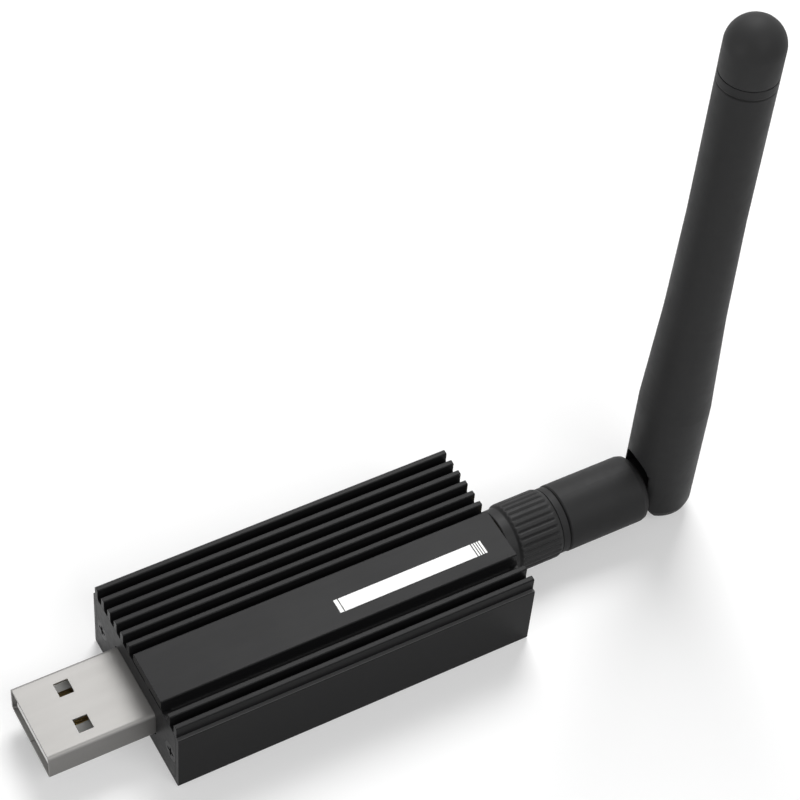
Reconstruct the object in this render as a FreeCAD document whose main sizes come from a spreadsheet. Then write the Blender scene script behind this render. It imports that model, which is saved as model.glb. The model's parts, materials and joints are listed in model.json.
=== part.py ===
"""USB radio stick: a finned aluminium housing with a USB plug at one end and, at the other, a
screwed-on antenna whose arm swivels about the connector and folds at a knuckle.

Origin: centre of the housing's flat underside. +X towards the antenna, +Z up.
The plug points to -X. The arm stands upright, folded a right angle from the connector's line."""
import FreeCAD, Part
import math
import os
import re

import Sketcher

PARTS_DIR = "parts"
THROUGH = 200.0

# Driving dimensions in millimetres (counts are plain numbers).
SIZES = [
    ("HousingLength", 52.2, "extrusion, end to end"),
    ("HousingWidth", 25.5, "extrusion, across the ledges"),
    ("HousingHeight", 12.8, "underside to fin tops"),
    ("LedgeHeight", 10.8, "underside to the ledge beside the fins"),
    ("LedgeWidth", 0.55, "ledge outside the outer fins"),
    ("FinThickness", 0.8, "one fin"),
    ("FinFloorHeight", 10.8, "underside to the bottom of the grooves"),
    ("FarFinPitch", 1.95, "fin to fin on the far side"),
    ("FarFinCount", 6, "fins on the far side"),
    ("PlateauGroove", 1.8, "wider groove on the near side of the smooth band"),
    ("NearGap", 1.1, "last groove, between the two near fins"),
    ("FinChamfer", 0.12, "edges of the fins, the band and the ledges"),
    ("SideWall", 1.3, "cavity to outside, sides"),
    ("FloorThickness", 1.2, "cavity to underside"),
    ("CeilingHeight", 9.5, "underside to the cavity's ceiling"),
    ("CavityRounding", 0.8, "cavity corners"),
    ("BottomRounding", 0.35, "long bottom edges of the housing"),
    ("ScrewInset", 2.35, "housing's side to an end plate screw's centre"),
    ("ScrewBossRadius", 1.7, "boss along the cavity wall"),
    ("TappedRadius", 0.8, "tapped channel in the boss"),
    ("RailHeight", 0.9, "rail under the board's edge"),
    ("RailReach", 3.1, "rail, from the cavity wall inwards"),
    ("PlateThickness", 1.2, "end plates"),
    ("PlateInset", 0.75, "housing's side to an end plate's side"),
    ("PlateHeight", 10.3, "end plates, up"),
    ("PlateCentreHeight", 5.8, "underside to the plate's middle"),
    ("PlateRounding", 1.3, "end plate corners"),
    ("PlateClearance", 0.06, "end plate to its recess, all round"),
    ("BandSlotHeight", 0.3, "relief slots between the band's ends and the plates"),
    ("BandRibWidth", 1.2, "rib left between the two slots of an end"),
    ("ScrewHeadRadius", 1.5, "countersunk head"),
    ("ScrewHeadDepth", 0.75, "countersunk head"),
    ("ScrewShankRadius", 0.76, "shank, over the thread's core"),
    ("ScrewLength", 6.0, "head face to tip"),
    ("DriveWidth", 1.7, "cross recess, tip to tip"),
    ("DriveBar", 0.42, "cross recess, one bar"),
    ("DriveDepth", 0.45, "cross recess"),
    ("ScrewHoleRadius", 1.05, "clearance hole in the plate"),
    ("ScrewHeadClearance", 0.05, "head to countersink"),
    ("PlugHeight", 5.2, "underside to the plug's centre"),
    ("PlugReach", 14.8, "plug shell beyond the housing"),
    ("PlugDepth", 3.5, "plug shell inside the housing"),
    ("PlugWidth", 12.0, "plug shell, outside"),
    ("PlugThickness", 4.5, "plug shell, outside"),
    ("PlugSheet", 0.3, "plug shell's sheet"),
    ("PlugRounding", 0.55, "plug shell's outer bends"),
    ("PlugSeam", 0.12, "gap where the folded sheet meets"),
    ("PlugCutClearance", 0.2, "plug shell to the front plate"),
    ("WindowWidth", 2.2, "latch window, across"),
    ("WindowLength", 2.0, "latch window, along"),
    ("WindowSpacing", 6.0, "latch windows, centre to centre"),
    ("WindowSetback", 6.1, "mouth to the windows' middle"),
    ("EarLength", 2.0, "soldered ear of the plug shell, along"),
    ("EarReach", 1.3, "soldered ear, out from the shell"),
    ("InsulatorClearance", 0.08, "insulator to the shell's inside"),
    ("InsulatorSetback", 0.6, "mouth to the tongue's front"),
    ("TongueHeight", 1.92, "plug tongue, thickness"),
    ("InsulatorBlock", 5.5, "insulator's full-height rear block, along"),
    ("ContactWidth", 1.0, "plug contact, across"),
    ("ContactSheet", 0.3, "plug contact, thickness"),
    ("ContactPitchOuter", 7.0, "outer contacts, centre to centre"),
    ("ContactPitchInner", 2.0, "inner contacts, centre to centre"),
    ("ContactSetbackOuter", 1.5, "mouth to the outer contacts"),
    ("ContactSetbackInner", 2.5, "mouth to the inner contacts"),
    ("ContactClearance", 0.02, "contact to its slot"),
    ("ContactTail", 1.8, "soldered tail on the board"),
    ("BoardInset", 3.7, "housing's side to the circuit board's edge"),
    ("BoardThickness", 1.6, "circuit board"),
    ("BoardFrontGap", 0.2, "front plate to the board"),
    ("BoardRearGap", 0.1, "jack flange to the board"),
    ("BoardSideClearance", 0.1, "board edge to its slot"),
    ("BoardSlotClearance", 0.08, "board faces to its slot"),
    ("BoardNotchClearance", 0.12, "plug shell to the board's notch"),
    ("BridgeAlong", 11.0, "housing's front to the serial bridge chip's middle"),
    ("BridgeSide", 5.0, "serial bridge chip, square"),
    ("BridgeHeight", 0.85, "serial bridge chip"),
    ("RadioAlong", 24.0, "housing's front to the radio chip's middle"),
    ("RadioSide", 7.0, "radio chip, square"),
    ("RadioHeight", 0.9, "radio chip"),
    ("ChipOffset", 0.5, "the square chips' middles, to the near side"),
    ("RegulatorAlong", 11.5, "housing's front to the voltage regulator's middle"),
    ("RegulatorOffset", 5.4, "voltage regulator's middle, to the far side"),
    ("RegulatorLength", 3.0, "voltage regulator"),
    ("RegulatorWidth", 1.7, "voltage regulator"),
    ("RegulatorHeight", 1.1, "voltage regulator"),
    ("CrystalAlong", 30.5, "housing's front to the crystals' middles"),
    ("CrystalLength", 3.2, "both crystals"),
    ("MainCrystalOffset", 4.4, "main crystal's middle, to the near side"),
    ("MainCrystalWidth", 2.5, "main crystal"),
    ("ClockCrystalOffset", 5.0, "clock crystal's middle, to the far side"),
    ("ClockCrystalWidth", 1.5, "clock crystal"),
    ("CrystalHeight", 0.8, "both crystals"),
    ("CapacitorLength", 1.0, "one capacitor"),
    ("CapacitorSide", 0.5, "one capacitor, across and up"),
    ("CapacitorRowFront", 17.0, "housing's front to the first pair of capacitors"),
    ("CapacitorRowPitch", 19.0, "pair to pair of capacitors, along"),
    ("CapacitorPairSpacing", 10.0, "two capacitors of a pair, centre to centre"),
    ("AxisHeight", 5.0, "underside to the antenna connector's axis"),
    ("JackFlange", 6.3, "square flange of the jack"),
    ("JackFlangeThickness", 1.6, "flange, along"),
    ("JackFlangeGap", 0.1, "flange to the rear plate"),
    ("JackRadius", 3.175, "threaded barrel, over the crests"),
    ("JackReach", 7.2, "barrel beyond the housing"),
    ("JackBoreClearance", 0.12, "barrel to the rear plate"),
    ("JackMouthRadius", 2.33, "mouth of the barrel"),
    ("JackMouthDepth", 2.0, "mouth of the barrel"),
    ("JackInsulatorRadius", 2.05, "jack insulator"),
    ("JackProngLength", 3.4, "soldered prongs, along"),
    ("JackProngWidth", 1.0, "soldered prongs, section"),
    ("JackProngSpacing", 4.6, "soldered prongs, centre to centre"),
    ("JackContactRadius", 0.64, "centre contact"),
    ("JackContactBore", 0.52, "hole in the centre contact"),
    ("JackContactBoreDepth", 2.0, "hole in the centre contact"),
    ("JackTailRadius", 0.4, "centre contact's soldered tail"),
    ("JackTailLength", 2.6, "tail beyond the flange"),
    ("SeatClearance", 0.02, "pressed-in pieces, radial"),
    ("NutFront", 1.65, "housing to the nut's front"),
    ("NutRear", 10.0, "housing to the nut's rear"),
    ("NutMetalRadius", 3.95, "metal nut, outside"),
    ("NutThreadClearance", 0.06, "metal nut to the barrel, radial"),
    ("NutShoulderGap", 0.1, "nut's shoulder to the ferrule's flange"),
    ("GripFrontRadius", 4.6, "smooth front collar of the grip"),
    ("GripRadius", 4.98, "grip over its ribs"),
    ("GripConeFront", 3.1, "housing to the start of the flare"),
    ("GripConeRear", 3.65, "housing to the end of the flare"),
    ("GripLip", 0.3, "rear lip of the grip"),
    ("GripBevel", 0.5, "bevel at the grip's rear, along"),
    ("GripBevelDrop", 0.24, "bevel at the grip's rear, inwards"),
    ("RibStart", 3.8, "housing to the grooves' front"),
    ("RibEnd", 9.45, "housing to the grooves' rear"),
    ("RibCount", 31, "grooves round the grip"),
    ("RibGrooveWidth", 0.46, "one groove"),
    ("RibGrooveDepth", 0.3, "one groove"),
    ("FlangeGap", 0.05, "ferrule's flange to the barrel's end"),
    ("FerruleNoseRadius", 2.27, "ferrule's nose, in the barrel's mouth"),
    ("FerruleNoseLength", 1.85, "ferrule's nose"),
    ("FerruleFlangeRadius", 3.0, "flange that the nut pulls on"),
    ("FerruleFlangeThickness", 0.7, "flange, along"),
    ("FerruleRadius", 2.6, "ferrule's shank"),
    ("FerruleRear", 13.3, "housing to the ferrule's rear"),
    ("FerruleInsulatorRadius", 1.9, "insulator in the ferrule"),
    ("FerruleInsulatorRear", 9.0, "housing to the insulator's rear"),
    ("FerrulePinRadius", 0.46, "antenna's centre pin"),
    ("FerrulePinReach", 1.5, "centre pin beyond the insulator"),
    ("FerrulePinRear", 9.6, "housing to the pin's rear"),
    ("ClipGrooveFront", 12.5, "housing to the clip's groove"),
    ("ClipThickness", 0.4, "retaining clip, along"),
    ("ClipGrooveDepth", 0.4, "clip's groove in the shank"),
    ("ClipRadius", 3.2, "retaining clip, outside"),
    ("ClipClearance", 0.05, "clip to its grooves"),
    ("ClipOpening", 2.6, "gap of the open clip"),
    ("CollarFront", 10.1, "housing to the collar"),
    ("CollarRear", 11.13, "housing to the collar's rear"),
    ("CollarRadius", 4.74, "collar, outside"),
    ("BaseFront", 11.28, "housing to the swivel base"),
    ("BaseRadius", 4.85, "swivel base, outside"),
    ("BaseBoreClearance", 0.06, "ferrule's shank in the base, radial"),
    ("BaseSocketGap", 0.3, "ferrule's rear to the socket's floor"),
    ("RimChamfer", 0.2, "rims of the grip and of the swivel base"),
    ("BaseRearRounding", 1.15, "swivel base, rear edge"),
    ("HingeReach", 28.4, "housing to the fold's pivot"),
    ("KnuckleGap", 4.13, "base's rear end to the pivot"),
    ("TongueThickness", 5.1, "swivel base's tongue, across"),
    ("TongueRadius", 2.8, "tongue's round head"),
    ("CableRadius", 0.85, "antenna cable"),
    ("CableClearance", 0.15, "cable to its channel, radial"),
    ("CableBendGap", 1.0, "pivot to the ends of the cable's straight runs"),
    ("PivotRadius", 1.2, "pivot bosses of the arm"),
    ("PivotLength", 1.05, "pivot bosses, along"),
    ("PivotClearance", 0.06, "bosses in the tongue, radial"),
    ("ArmRadius", 4.95, "arm at the knuckle"),
    ("ArmBottom", 3.95, "pivot to the arm's lower end"),
    ("ArmBottomRounding", 1.8, "arm's lower edge"),
    ("EarSwingRadius", 4.0, "arm's ears, rounded about the pivot"),
    ("EarFlatGap", 0.3, "swivel base's top to the end of the ears' flats"),
    ("ArmSlotClearance", 0.15, "tongue to the arm's slot, each side"),
    ("ArmSlotTop", 7.2, "pivot to the top of the slot's arch"),
    ("ArmSlotBack", 3.1, "pivot to the slot's back wall"),
    ("TaperStart", 17.0, "pivot to the start of the taper"),
    ("TaperWaist", 35.0, "pivot to where the taper turns gentler"),
    ("TaperWaistRadius", 4.17, "arm where the taper turns gentler"),
    ("TaperEnd", 53.0, "pivot to the end of the taper"),
    ("ShaftRadius", 3.83, "arm above the taper"),
    ("CapSeam", 77.45, "pivot to the tip cap"),
    ("TipHeight", 85.4, "pivot to the top"),
    ("SeamDepth", 0.16, "fine ring where the cap meets the arm"),
    ("ArmBore", 2.2, "bore of the arm"),
    ("CapSpigotLength", 3.0, "tip cap's spigot"),
    ("CapSpigotClearance", 0.04, "spigot in the bore, radial"),
    ("SleeveRadius", 1.9, "radiator sleeve, outside"),
    ("SleeveWall", 0.3, "radiator sleeve"),
    ("SleeveShoulder", 1.0, "sleeve's closed top round the cable"),
    ("SleeveStart", 12.0, "pivot to the sleeve"),
    ("SleeveEnd", 38.0, "pivot to the sleeve's top"),
    ("WireRadius", 0.45, "radiator wire"),
    ("WireEnd", 66.0, "pivot to the wire's top"),
]

doc = FreeCAD.newDocument("usb_radio_stick")
sheet = doc.addObject("Spreadsheet::Sheet", "Sizes")
for row, (alias, value, meaning) in enumerate(SIZES, 1):
    sheet.set(f"A{row}", meaning)
    sheet.set(f"B{row}", str(value))
    sheet.setAlias(f"B{row}", alias)
doc.recompute()

CELL_NAME = re.compile(r"\b[A-Z][A-Za-z]+\b")

# Places that several pieces share, as rules over the cells.
FRONT_X = "-HousingLength / 2"
REAR_X = "HousingLength / 2"
FIN_ROW_EDGE = "HousingWidth / 2 - LedgeWidth"
FAR_GAP = "FarFinPitch - FinThickness"
BAND_FAR_EDGE = f"({FIN_ROW_EDGE} - FarFinCount * FarFinPitch)"
BAND_NEAR_EDGE = f"(2 * FinThickness + NearGap + PlateauGroove - ({FIN_ROW_EDGE}))"
BAND_MIDDLE = f"({BAND_FAR_EDGE} + {BAND_NEAR_EDGE}) / 2"
BAND_SLOT_WIDTH = f"({BAND_FAR_EDGE} - {BAND_NEAR_EDGE} - BandRibWidth) / 2"
PLATE_WIDTH = "(HousingWidth - 2 * PlateInset)"
SCREW_SPACING = "(HousingWidth - 2 * ScrewInset)"
BOARD_WIDTH = "(HousingWidth - 2 * BoardInset)"
NEAR_FIN_INNER = f"({BAND_NEAR_EDGE} - PlateauGroove - FinThickness)"
BOARD_TOP = "(AxisHeight - JackTailRadius)"
BOARD_FRONT = "(PlateThickness + BoardFrontGap)"
JACK_BACK = "(PlateThickness + JackFlangeGap + JackFlangeThickness)"
BOARD_LENGTH = f"(HousingLength - {BOARD_FRONT} - {JACK_BACK} - BoardRearGap)"
FLANGE_FRONT = "(JackReach + FlangeGap)"
FLANGE_REAR = f"({FLANGE_FRONT} + FerruleFlangeThickness)"
NOSE_FRONT = f"({FLANGE_FRONT} - FerruleNoseLength)"
BASE_REAR = "(HingeReach - KnuckleGap)"
CHANNEL_RADIUS = "(CableRadius + CableClearance)"


def cells(rule):
    """A rule over cell names as an expression on the sheet."""
    return CELL_NAME.sub(r"Sizes.\g<0>", str(rule))


def bind(thing, prop, rule):
    thing.setExpression(prop, cells(rule))


def size(rule):
    """A rule over cell names as a number, for first guesses and for finding edges."""
    probe.setExpression("Placement.Base.x", cells(rule))
    probe.recompute()
    return probe.Placement.Base.x


# Sketches

def origin_part(body, role):
    return next(feature for feature in body.Origin.OriginFeatures if feature.Role == role)


def new_body(label, place=("0", "0", "0")):
    body = doc.addObject("PartDesign::Body", label)
    body.Label = label
    for letter, rule in zip("xyz", place):
        bind(body, f"Placement.Base.{letter}", rule)
    return body


def new_sketch(body, name, role, place=("0", "0", "0")):
    """A sketch on one of the body's own planes, moved by rules in the sketch's own directions."""
    sketch = body.newObject("Sketcher::SketchObject", name)
    sketch.AttachmentSupport = [(origin_part(body, role), "")]
    sketch.MapMode = "FlatFace"
    for letter, rule in zip("xyz", place):
        bind(sketch, f"AttachmentOffset.Base.{letter}", rule)
    return sketch


def point(x, y):
    return FreeCAD.Vector(x, y, 0)


def constrain(sketch, name, rule, *definition):
    """A named dimension that follows a rule."""
    index = sketch.addConstraint(Sketcher.Constraint(*definition, size(rule)))
    sketch.renameConstraint(index, name)
    bind(sketch, f"Constraints.{name}", rule)


def sketch_line(sketch, start, end):
    return sketch.addGeometry(Part.LineSegment(point(*start), point(*end)), False)


def closed_lines(sketch, corners):
    first = sketch.GeometryCount
    count = len(corners)
    for here in range(count):
        line = Part.LineSegment(point(*corners[here]), point(*corners[(here + 1) % count]))
        sketch.addGeometry(line, False)
    for here in range(count):
        after = first + (here + 1) % count
        sketch.addConstraint(Sketcher.Constraint("Coincident", first + here, 2, after, 1))
    return first


def rectangle(sketch, width, height):
    """A rectangle centred on the sketch's origin."""
    first = closed_lines(sketch, [(-2, -1), (2, -1), (2, 1), (-2, 1)])
    for side, direction in enumerate(["Horizontal", "Vertical", "Horizontal", "Vertical"]):
        sketch.addConstraint(Sketcher.Constraint(direction, first + side))
    sketch.addConstraint(Sketcher.Constraint("Symmetric", first, 1, first + 2, 1, -1, 1))
    constrain(sketch, "Width", width, "DistanceX", first, 1, first, 2)
    constrain(sketch, "Height", height, "DistanceY", first + 1, 1, first + 1, 2)


def rounded_rectangle(sketch, width, height, rounding):
    """A rectangle with equal round corners, centred on the sketch's origin."""
    half, rise, turn_at = size(width) / 2, size(height) / 2, size(rounding)
    flat, wall = half - turn_at, rise - turn_at
    sides = [((-flat, -rise), (flat, -rise)), ((half, -wall), (half, wall)),
             ((flat, rise), (-flat, rise)), ((-half, wall), (-half, -wall))]
    centres = [(flat, -wall), (flat, wall), (-flat, wall), (-flat, -wall)]
    lines, arcs = [], []
    for here, ((start, end), centre) in enumerate(zip(sides, centres)):
        lines.append(sketch_line(sketch, start, end))
        quarter = Part.Circle(point(*centre), FreeCAD.Vector(0, 0, 1), turn_at)
        begin = math.pi / 2 * (here - 1)
        arcs.append(sketch.addGeometry(Part.ArcOfCircle(quarter, begin, begin + math.pi / 2), False))
    for here in range(4):
        sketch.addConstraint(Sketcher.Constraint("Tangent", lines[here], 2, arcs[here], 1))
        sketch.addConstraint(Sketcher.Constraint("Tangent", arcs[here], 2, lines[(here + 1) % 4], 1))
        sketch.addConstraint(Sketcher.Constraint(["Horizontal", "Vertical"][here % 2], lines[here]))
    for arc in arcs[1:]:
        sketch.addConstraint(Sketcher.Constraint("Equal", arcs[0], arc))
    sketch.addConstraint(Sketcher.Constraint("Symmetric", arcs[0], 3, arcs[2], 3, -1, 1))
    constrain(sketch, "Width", width, "DistanceX", lines[3], 1, lines[1], 1)
    constrain(sketch, "Height", height, "DistanceY", lines[0], 1, lines[2], 1)
    constrain(sketch, "Rounding", rounding, "Radius", arcs[0])


def circle(sketch, radius):
    """A circle centred on the sketch's origin."""
    ring = sketch.addGeometry(Part.Circle(point(0, 0), FreeCAD.Vector(0, 0, 1), 1.0), False)
    sketch.addConstraint(Sketcher.Constraint("Coincident", ring, 3, -1, 1))
    constrain(sketch, "Radius", radius, "Radius", ring)


def circle_pair(sketch, radius, spacing):
    """Two equal circles side by side, centred on the sketch's origin."""
    rings = []
    for side in (-3, 3):
        ring = Part.Circle(point(side, 0), FreeCAD.Vector(0, 0, 1), 1.0)
        rings.append(sketch.addGeometry(ring, False))
    sketch.addConstraint(Sketcher.Constraint("Symmetric", rings[0], 3, rings[1], 3, -1, 1))
    sketch.addConstraint(Sketcher.Constraint("PointOnObject", rings[0], 3, -1))
    sketch.addConstraint(Sketcher.Constraint("Equal", rings[0], rings[1]))
    constrain(sketch, "Spacing", spacing, "DistanceX", rings[0], 3, rings[1], 3)
    constrain(sketch, "Radius", radius, "Radius", rings[0])


def arch(sketch, width, height):
    """Straight sides with a half-round end; the round's centre is the sketch's origin and the
    sides run from it to the given height, up where it is positive and down where it is negative."""
    up = 1 if not height.startswith("-") else -1
    start, end = (math.pi, 2 * math.pi) if up > 0 else (0, math.pi)
    round_end = Part.ArcOfCircle(Part.Circle(point(0, 0), FreeCAD.Vector(0, 0, 1), 1.0), start, end)
    arc = sketch.addGeometry(round_end, False)
    first_x = -1 if up > 0 else 1
    side_a = sketch.addGeometry(Part.LineSegment(point(first_x, 0), point(first_x, 3 * up)), False)
    side_b = sketch.addGeometry(Part.LineSegment(point(-first_x, 0), point(-first_x, 3 * up)), False)
    lid = sketch.addGeometry(Part.LineSegment(point(first_x, 3 * up), point(-first_x, 3 * up)), False)
    sketch.addConstraint(Sketcher.Constraint("Coincident", arc, 3, -1, 1))
    sketch.addConstraint(Sketcher.Constraint("Tangent", arc, 1, side_a, 1))
    sketch.addConstraint(Sketcher.Constraint("Tangent", arc, 2, side_b, 1))
    sketch.addConstraint(Sketcher.Constraint("Coincident", side_a, 2, lid, 1))
    sketch.addConstraint(Sketcher.Constraint("Coincident", side_b, 2, lid, 2))
    sketch.addConstraint(Sketcher.Constraint("Vertical", side_a))
    sketch.addConstraint(Sketcher.Constraint("Vertical", side_b))
    sketch.addConstraint(Sketcher.Constraint("Horizontal", lid))
    constrain(sketch, "Radius", f"({width}) / 2", "Radius", arc)
    reach = height.lstrip("-")
    if up > 0:
        constrain(sketch, "Reach", reach, "DistanceY", side_a, 1, side_a, 2)
    else:
        constrain(sketch, "Reach", reach, "DistanceY", side_a, 2, side_a, 1)


def turned_profile(sketch, corners):
    """A closed outline from (along, out) rules; a corner with out 0 lies on the turning axis."""
    guesses = [(size(along), size(out)) for along, out in corners]
    first = closed_lines(sketch, guesses)
    for here, (along, out) in enumerate(corners):
        if size(along) == 0:
            sketch.addConstraint(Sketcher.Constraint("PointOnObject", first + here, 1, -2))
        else:
            constrain(sketch, f"Along{here}", along, "DistanceX", -1, 1, first + here, 1)
        if out == "0":
            sketch.addConstraint(Sketcher.Constraint("PointOnObject", first + here, 1, -1))
        else:
            constrain(sketch, f"Out{here}", out, "DistanceY", -1, 1, first + here, 1)


def quarter_round(corner, radius, steps=4):
    """Points along a quarter round at an outline's corner, as (inwards, out) rules; the corner is
    given by its two rules and the round leaves the outer side first."""
    along, out = corner
    points = []
    for step in range(steps + 1):
        angle = math.pi / 2 * step / steps
        back, down = round(1 - math.sin(angle), 6), round(1 - math.cos(angle), 6)
        points.append((f"({along} - {radius} * {back})", f"({out} - {radius} * {down})"))
    return points


def upright_profile(sketch, corners):
    """A closed outline from (out, up) rules for turning about the upright axis."""
    first = closed_lines(sketch, [(size(out), size(up)) for out, up in corners])
    for here, (out, up) in enumerate(corners):
        if out == "0":
            sketch.addConstraint(Sketcher.Constraint("PointOnObject", first + here, 1, -2))
        else:
            constrain(sketch, f"Out{here}", out, "DistanceX", -1, 1, first + here, 1)
        if up.startswith("-"):
            constrain(sketch, f"Down{here}", up[1:], "DistanceY", first + here, 1, -1, 1)
        else:
            constrain(sketch, f"Up{here}", up, "DistanceY", -1, 1, first + here, 1)


# Features

def extrude(body, kind, name, sketch, length=None, both=False, backwards=False):
    """A pad or pocket; with no length it runs right through both ways."""
    feature = body.newObject(f"PartDesign::{kind}", name)
    feature.Profile = sketch
    if length is None:
        feature.SideType = "Symmetric"
        feature.Length = THROUGH
    else:
        bind(feature, "Length", length)
        if both:
            feature.SideType = "Symmetric"
    feature.Reversed = backwards
    return feature


def turn(body, kind, name, sketch, axis="H_Axis"):
    feature = body.newObject(f"PartDesign::{kind}", name)
    feature.Profile = sketch
    feature.ReferenceAxis = (sketch, [axis])
    feature.Angle = 360
    return feature


def dress(body, kind, name, amount, choose):
    """A fillet or chamfer on the edges of the last feature that the test chooses."""
    doc.recompute()
    base = body.Tip
    names = [f"Edge{i}" for i, edge in enumerate(base.Shape.Edges, 1) if choose(edge)]
    assert names, f"{body.Label}: no edge for {name}"
    feature = body.newObject(f"PartDesign::{kind}", name)
    feature.Base = (base, names)
    bind(feature, "Radius" if kind == "Fillet" else "Size", amount)
    return feature


def near(value, target, slack=1e-3):
    return abs(value - target) < slack


def straight_along(edge, axis):
    """True for a straight edge that runs along the given axis."""
    if not isinstance(edge.Curve, (Part.Line, Part.LineSegment)):
        return False
    way = edge.Vertexes[-1].Point - edge.Vertexes[0].Point
    return way.Length > 1e-6 and abs(abs(way.normalize().dot(axis)) - 1) < 1e-6


def ring_at(edge, axis, along, radius):
    """True for a full or part circle about the axis at the given place and radius."""
    if not isinstance(edge.Curve, Part.Circle):
        return False
    centre = edge.Curve.Center
    off_axis = centre - axis * centre.dot(axis)
    return near(edge.Curve.Radius, radius) and near(centre.dot(axis), along) and off_axis.Length < 1e-3


ALONG_X = FreeCAD.Vector(1, 0, 0)
ALONG_Z = FreeCAD.Vector(0, 0, 1)

probe = doc.addObject("Part::Box", "Probe")


# Finned housing: one extrusion, then the end recesses

def build_housing():
    body = new_body("housing_shell")

    outline = new_sketch(body, "SideOutline", "YZ_Plane", ("0", "LedgeHeight / 2", "0"))
    rectangle(outline, "HousingWidth", "LedgeHeight")
    extrude(body, "Pad", "Extrusion", outline, "HousingLength", both=True)

    row = new_sketch(body, "FinRow", "YZ_Plane", ("0", "(LedgeHeight + HousingHeight) / 2", "0"))
    rectangle(row, f"2 * ({FIN_ROW_EDGE})", "HousingHeight - LedgeHeight")
    extrude(body, "Pad", "FinRowPad", row, "HousingLength", both=True)

    far_centre = f"{FIN_ROW_EDGE} - FinThickness - ({FAR_GAP}) / 2"
    far = new_sketch(body, "FarGroove", "YZ_Plane",
                     (far_centre, f"FinFloorHeight + ({FAR_GAP}) / 2", "0"))
    arch(far, FAR_GAP, "HousingHeight")
    far_cut = extrude(body, "Pocket", "FarGrooveCut", far)
    doc.recompute()
    row_of_grooves = body.newObject("PartDesign::LinearPattern", "FarGrooves")
    row_of_grooves.Originals = [far_cut]
    row_of_grooves.Direction = (far, ["H_Axis"])
    row_of_grooves.Reversed = True
    bind(row_of_grooves, "Length", "(FarFinCount - 1) * FarFinPitch")
    bind(row_of_grooves, "Occurrences", "FarFinCount")
    body.Tip = row_of_grooves

    wide = new_sketch(body, "BandGroove", "YZ_Plane",
                      (f"{BAND_NEAR_EDGE} - PlateauGroove / 2", "FinFloorHeight + PlateauGroove / 2", "0"))
    arch(wide, "PlateauGroove", "HousingHeight")
    extrude(body, "Pocket", "BandGrooveCut", wide)

    last = new_sketch(body, "NearGroove", "YZ_Plane",
                      (f"{NEAR_FIN_INNER} - NearGap / 2", "FinFloorHeight + NearGap / 2", "0"))
    arch(last, "NearGap", "HousingHeight")
    extrude(body, "Pocket", "NearGrooveCut", last)

    def on_top_or_ledge(edge):
        if not straight_along(edge, ALONG_X):
            return False
        height = edge.Vertexes[0].Z
        outer = near(abs(edge.Vertexes[0].Y), size("HousingWidth / 2"))
        return near(height, size("HousingHeight")) or (outer and near(height, size("LedgeHeight")))

    dress(body, "Chamfer", "TopEdges", "FinChamfer", on_top_or_ledge)
    dress(body, "Fillet", "BottomEdges", "BottomRounding",
          lambda edge: straight_along(edge, ALONG_X) and near(edge.Vertexes[0].Z, 0))

    cavity = new_sketch(body, "Cavity", "YZ_Plane", ("0", "(FloorThickness + CeilingHeight) / 2", "0"))
    rectangle(cavity, "HousingWidth - 2 * SideWall", "CeilingHeight - FloorThickness")
    extrude(body, "Pocket", "CavityCut", cavity)

    def cavity_corner(edge):
        place = edge.Vertexes[0]
        return (straight_along(edge, ALONG_X) and near(abs(place.Y), size("HousingWidth / 2 - SideWall"))
                and size("FloorThickness") - 0.01 < place.Z < size("CeilingHeight") + 0.01)

    dress(body, "Fillet", "CavityCorners", "CavityRounding", cavity_corner)

    bosses = new_sketch(body, "ScrewBosses", "YZ_Plane", ("0", "PlugHeight", "0"))
    circle_pair(bosses, "ScrewBossRadius", SCREW_SPACING)
    extrude(body, "Pad", "ScrewBossPad", bosses, "HousingLength", both=True)

    for side, sign in (("Far", ""), ("Near", "-")):
        rail = new_sketch(body, f"{side}Rail", "YZ_Plane",
                          (f"{sign}(HousingWidth / 2 - SideWall - RailReach / 2 + CavityRounding / 2)",
                           f"{BOARD_TOP} - BoardThickness - BoardSlotClearance - RailHeight / 2", "0"))
        rectangle(rail, "RailReach + CavityRounding", "RailHeight")
        extrude(body, "Pad", f"{side}RailPad", rail, "HousingLength", both=True)

    slot = new_sketch(body, "BoardSlot", "YZ_Plane", ("0", f"{BOARD_TOP} - BoardThickness / 2", "0"))
    rectangle(slot, f"{BOARD_WIDTH} + 2 * BoardSideClearance", "BoardThickness + 2 * BoardSlotClearance")
    extrude(body, "Pocket", "BoardSlotCut", slot)

    tapped = new_sketch(body, "ScrewChannels", "YZ_Plane", ("0", "PlugHeight", "0"))
    circle_pair(tapped, "TappedRadius", SCREW_SPACING)
    extrude(body, "Pocket", "ScrewChannelCut", tapped)

    for end, place, backwards in (("Front", FRONT_X, True), ("Rear", REAR_X, False)):
        recess = new_sketch(body, f"{end}Recess", "YZ_Plane", ("0", "PlateCentreHeight", place))
        rounded_rectangle(recess, f"{PLATE_WIDTH} + 2 * PlateClearance",
                          "PlateHeight + 2 * PlateClearance", "PlateRounding + PlateClearance")
        extrude(body, "Pocket", f"{end}RecessCut", recess, "PlateThickness", backwards=backwards)
        for side, sign in (("Far", "+"), ("Near", "-")):
            slot = new_sketch(body, f"{end}{side}BandSlot", "YZ_Plane",
                              (f"{BAND_MIDDLE} {sign} ({BAND_SLOT_WIDTH} + BandRibWidth) / 2",
                               "PlateCentreHeight + PlateHeight / 2 + PlateClearance", place))
            rectangle(slot, BAND_SLOT_WIDTH, "2 * BandSlotHeight")
            extrude(body, "Pocket", f"{end}{side}BandSlotCut", slot, "PlateThickness",
                    backwards=backwards)

    return body


# End plates, inset flush in the housing's ends

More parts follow.
